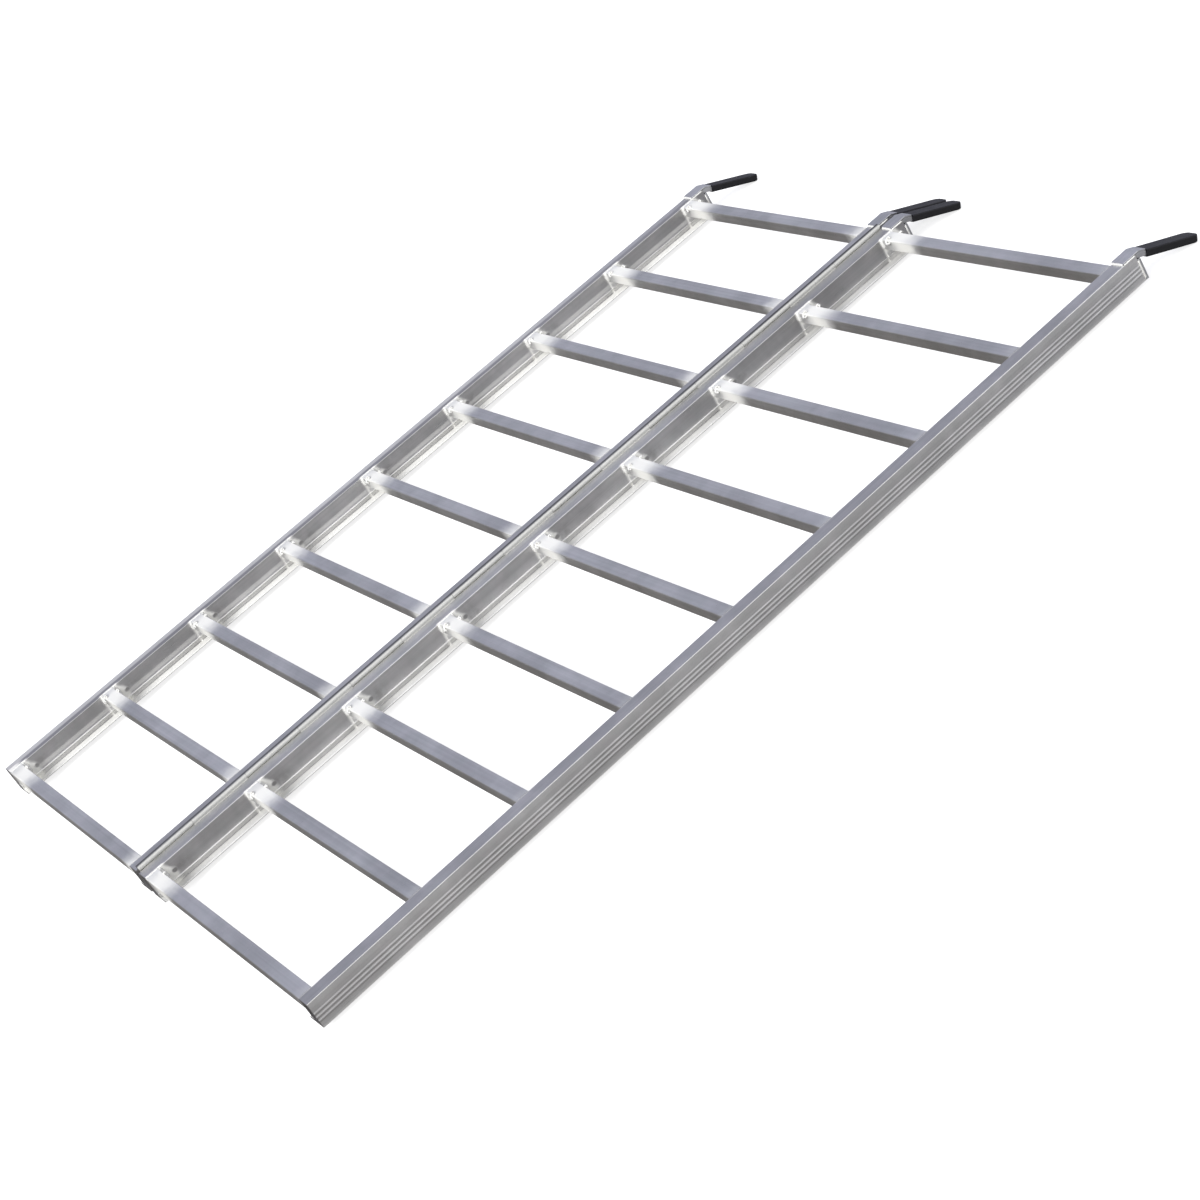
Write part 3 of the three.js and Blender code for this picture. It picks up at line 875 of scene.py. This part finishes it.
def make_sleeve(node, body):
    """A moulded sleeve with a rounded tip, a rolled mouth and the bar's pocket inside.

    Its rings run from the pocket's bottom out to the mouth, then back over the outside to the tip.
    """
    low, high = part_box(node)
    slope = math.radians(SLEEVE_SLOPE)
    past_rail, below_top = SLEEVE_START
    start = Vector(((low.x + high.x) / 2, RAIL_FINISH + past_rail, RAIL_TOP - below_top))
    along = Vector((0, math.cos(slope), -math.sin(slope)))
    above = Vector((0, math.sin(slope), math.cos(slope)))
    across = Vector((1, 0, 0))
    middle = start - above * SLEEVE_HALF_THICK

    def ring(distance, width, thick, radius):
        centre = middle + along * distance
        return [centre + across * a + above * b for a, b in rounded_box(width, thick, radius, 5)]

    rings = []
    for distance in POCKET_DEPTHS:
        rings.append(ring(distance, POCKET_HALF_WIDTH, POCKET_HALF_THICK, 0.6 * MM))
    for i in range(MOUTH_STEPS + 1):
        angle = math.radians(90 * i / MOUTH_STEPS)
        grow = MOUTH * (1 - math.cos(angle))
        width, thick = POCKET_HALF_WIDTH + grow, POCKET_HALF_THICK + grow
        rings.append(ring(MOUTH - MOUTH * math.sin(angle), width, thick, 0.9 * MM))
    for i in range(1, MOUTH_STEPS + 1):
        angle = math.radians(90 * i / MOUTH_STEPS)
        inset = MOUTH * (1 - math.sin(angle))
        width, thick = SLEEVE_HALF_WIDTH - inset, SLEEVE_HALF_THICK - inset
        rings.append(ring(MOUTH * (1 - math.cos(angle)), width, thick, SLEEVE_EDGE - inset))
    for distance in (4 * MM, 30 * MM, 65 * MM, SLEEVE_LENGTH - TIP_RADIUS):
        rings.append(ring(distance, SLEEVE_HALF_WIDTH, SLEEVE_HALF_THICK, SLEEVE_EDGE))
    for i in range(1, TIP_STEPS):
        angle = math.radians(90 * i / TIP_STEPS)
        distance = SLEEVE_LENGTH - TIP_RADIUS + TIP_RADIUS * math.sin(angle)
        width = SLEEVE_HALF_WIDTH - TIP_RADIUS * (1 - math.cos(angle))
        thick = SLEEVE_HALF_THICK - max(0.0, math.sin(angle) - 0.8) / 0.2 * 2.0 * MM
        rings.append(ring(distance, width, thick, min(SLEEVE_EDGE, width * 0.9, thick * 0.9)))
    rings.append(ring(SLEEVE_LENGTH, 2.5 * MM, SLEEVE_HALF_THICK - 3.2 * MM, 1.2 * MM))
    bm = bmesh.new()
    loft(bm, rings)
    finish_piece(f"{node}_moulding", bm, "rubber", body, [node], sharp=50)


WELD_SPACING = 0.8 * MM


def straight_bead(bm, start, end, radius, seed):
    path = run(start, end, WELD_SPACING)
    bead_along(bm, path, [radius] * len(path), seed)


def make_strap_weld(prefix, body):
    """Beads across the strap's back end and along both of its edges on the rail's top."""
    low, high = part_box(f"{prefix}_finger_strap")
    back = low.y - 0.2 * MM
    across_z = RAIL_TOP + 0.6 * MM
    edge_z = RAIL_TOP - 0.4 * MM
    bm = bmesh.new()
    straight_bead(bm, (low.x + 1.5 * MM, back, across_z), (high.x - 1.5 * MM, back, across_z),
                  2.4 * MM, prefix + "back")
    for edge, inset in ((low.x, 0.4 * MM), (high.x, -0.4 * MM)):
        x = edge + inset
        straight_bead(bm, (x, back + 1 * MM, edge_z), (x, RAIL_FINISH - 2 * MM, edge_z),
                      1.7 * MM, f"{prefix}{edge:.3f}")
    finish_weld(f"{prefix}_strap_weld", bm, "weld", body)


def make_plate_weld(prefix, body):
    """A bead down each side of the end plate."""
    low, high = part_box(f"{prefix}_end_plate")
    y = low.y + 0.6 * MM
    bm = bmesh.new()
    for edge, inset in ((low.x, 0.5 * MM), (high.x, -0.5 * MM)):
        x = edge + inset
        straight_bead(bm, (x, y, high.z - 2 * MM), (x, y, low.z + 3 * MM), 1.8 * MM,
                      f"{prefix}plate{edge:.3f}")
    finish_weld(f"{prefix}_plate_weld", bm, "weld", body)


def make_finger(side_name, place_name):
    body = f"{side_name}_panel"
    prefix = f"{side_name}_{place_name}"
    polish_cad_node(f"{prefix}_finger_strap", "bracket", 0.8 * MM)
    polish_cad_node(f"{prefix}_finger_bar", "bracket", 0.6 * MM)
    polish_cad_node(f"{prefix}_end_plate", "bracket", 0.6 * MM)
    make_sleeve(f"{prefix}_finger_sleeve", body)
    make_strap_weld(prefix, body)
    make_plate_weld(prefix, body)


# ---------------------------------------------------------------- hinge

BARREL = 5.6 * MM
BORE = 3.3 * MM
PIN = 3.0 * MM
KNUCKLES = 15
KNUCKLE_GAP = 0.4 * MM
KNUCKLE_FOOT = BARREL + 1.4 * MM
LEAF = 6 * MM
LEAF_GAP = 0.2 * MM
NECK = LEAF - 1.3 * MM
CUP_GAP = 0.4 * MM
RIM_DROP = 1 * MM
ROUND_STEPS = 23


def round_outline(radius):
    """A circle round the hinge's axis, as (x, z)."""
    return arc((0, HINGE_AXIS.z), (radius, radius), 0, 345, ROUND_STEPS)


def make_leaf(side_name, first):
    """A leaf strip between the rails, its top hollowed under the barrel, and every second knuckle.

    Outlines here are measured from the hinge's axis. Each knuckle's neck crosses a corner of the
    other leaf by less than a third of a millimetre, hidden under the barrel.
    """
    side = SIDES[side_name]
    low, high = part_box(f"{side_name}_hinge_leaf")
    rim = RAIL_TOP - RIM_DROP - HINGE_AXIS.z
    cup = BARREL + CUP_GAP
    cup_start = -math.degrees(math.acos(LEAF_GAP / cup))
    cup_end = math.degrees(math.asin(rim / cup))
    strip = arc((0, 0), (cup, cup), cup_start, cup_end, 16)
    leaf_foot = low.z - HINGE_AXIS.z
    strip += [(LEAF_GAP + LEAF, rim), (LEAF_GAP + LEAF, leaf_foot), (LEAF_GAP, leaf_foot)]
    bm = bmesh.new()
    sweep(bm, [[(side * a, HINGE_AXIS.z + b) for a, b in strip]], "Y", low.y, high.y)
    pin_low, pin_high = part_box("hinge_pin")
    pitch = (pin_high.y - pin_low.y) / KNUCKLES
    inside, outside = LEAF_GAP, LEAF_GAP + NECK
    join = math.degrees(math.asin(inside / BARREL))
    flank = math.degrees(math.acos(outside / BARREL))
    knuckle = arc((0, 0), (BARREL, BARREL), -flank, 270 + join, 36)
    knuckle = [(outside, -KNUCKLE_FOOT)] + knuckle[:-1] + [(inside, -KNUCKLE_FOOT)]
    outline = [(side * a, HINGE_AXIS.z + b) for a, b in knuckle]
    bore = round_outline(BORE)
    for index in range(first, KNUCKLES, 2):
        start = pin_low.y + index * pitch + KNUCKLE_GAP / 2
        sweep(bm, [outline, bore], "Y", start, start + pitch - KNUCKLE_GAP)
    node = f"{side_name}_hinge_leaf"
    piece = finish_piece(f"{node}_strip", bm, "hinge", f"{side_name}_panel", [node])
    soften(piece, 0.25 * MM, 2, 60)


def make_pin():
    """A rod with rounded ends."""
    low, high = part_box("hinge_pin")
    end_rounding = ((0.0, 0.6 * MM), (0.2 * MM, 0.25 * MM), (0.6 * MM, 0.0))
    stations = [(low.y + along, PIN - inset) for along, inset in end_rounding]
    stations += [(high.y - along, PIN - inset) for along, inset in reversed(end_rounding)]
    bm = bmesh.new()
    loft(bm, [[(x, y, z) for x, z in round_outline(radius)] for y, radius in stations])
    finish_piece("hinge_pin_rod", bm, "steel", "left_panel", ["hinge_pin"])


# ---------------------------------------------------------------- the whole ramp

make_camera()
make_world()
make_lights()
make_floor()
for side_name in SIDES:
    for place_name in ("outer", "inner"):
        make_rail(side_name, place_name)
        make_finger(side_name, place_name)
    for index in range(RUNG_COUNT):
        make_rung(side_name, index)
        for place_name in ("outer", "inner"):
            make_rung_weld(side_name, index, place_name)
make_leaf("left", 0)
make_leaf("right", 1)
make_pin()

scene = bpy.context.scene
scene.view_settings.view_transform = "Standard"
